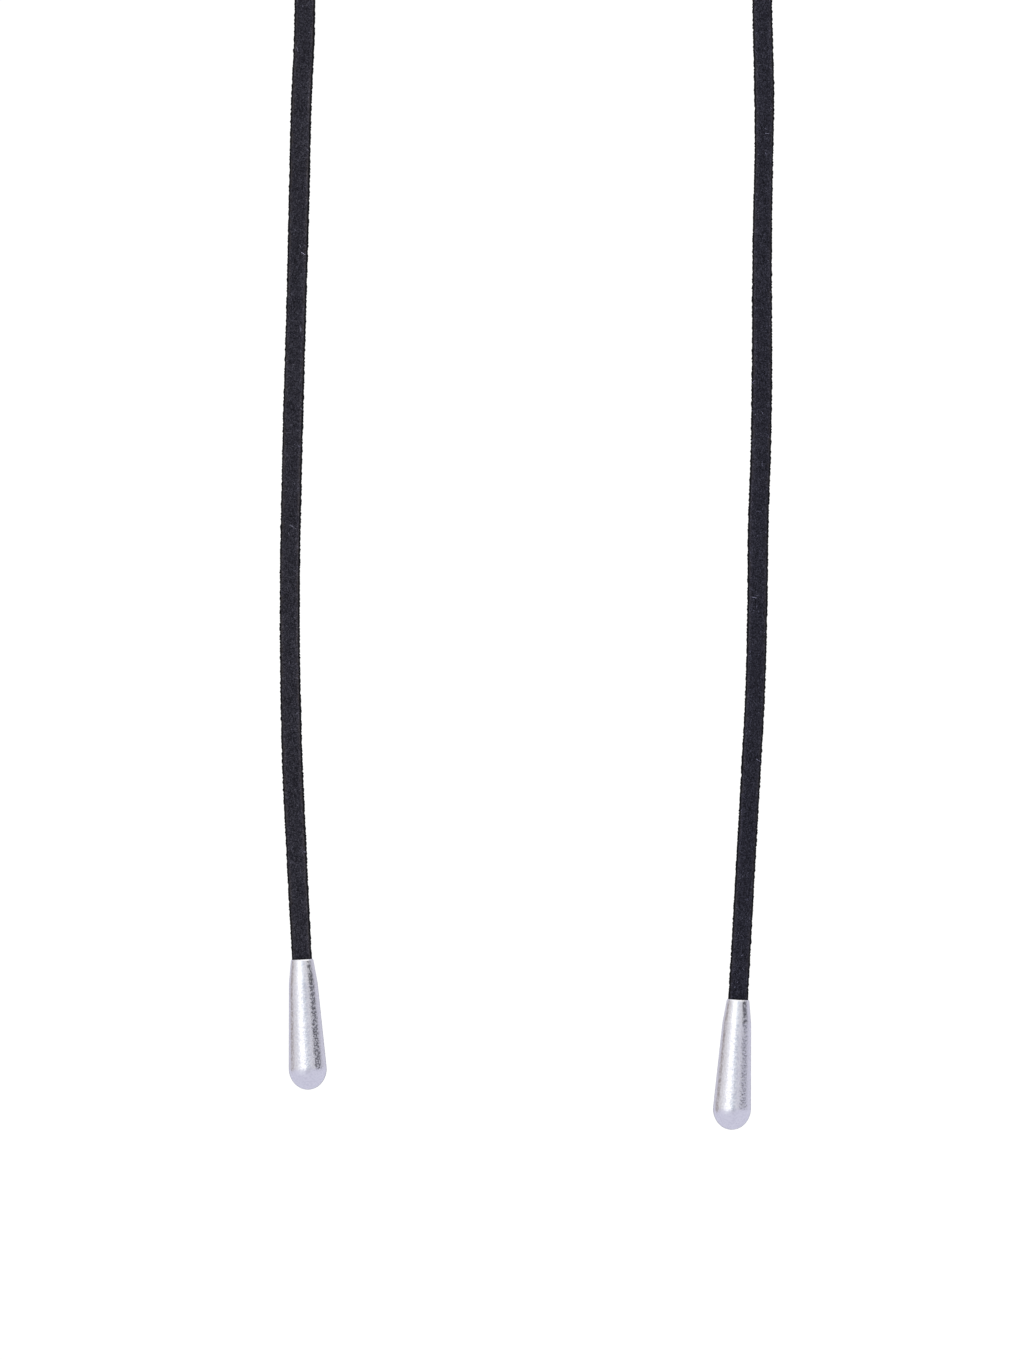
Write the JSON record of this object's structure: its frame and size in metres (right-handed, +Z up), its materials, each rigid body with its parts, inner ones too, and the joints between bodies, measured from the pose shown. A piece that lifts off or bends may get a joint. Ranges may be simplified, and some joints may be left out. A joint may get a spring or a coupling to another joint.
{
  "type": "suede cord choker",
  "caption": "Flat black suede cord that hangs round the neck with its ends loose in front, each end closed by a slim round-ended satin silver cap.",
  "frame": {"origin": "middle of the cord's inner face at the nape, where the cord lies on the back of the neck", "axes": "+Z up, against the way the ends hang; -Y the way the wearer faces; +X to the right seen from the front"},
  "size_m": [0.1165, 0.1207, 0.306],
  "materials": {
    "suede": "dyed suede split, matt with a short nap",
    "cap_metal": "satin silver, finely speckled"
  },
  "bodies": {
    "root": {"suede_cord": "suede", "left_end_cap": "cap_metal", "right_end_cap": "cap_metal"}
  },
  "joints": []
}
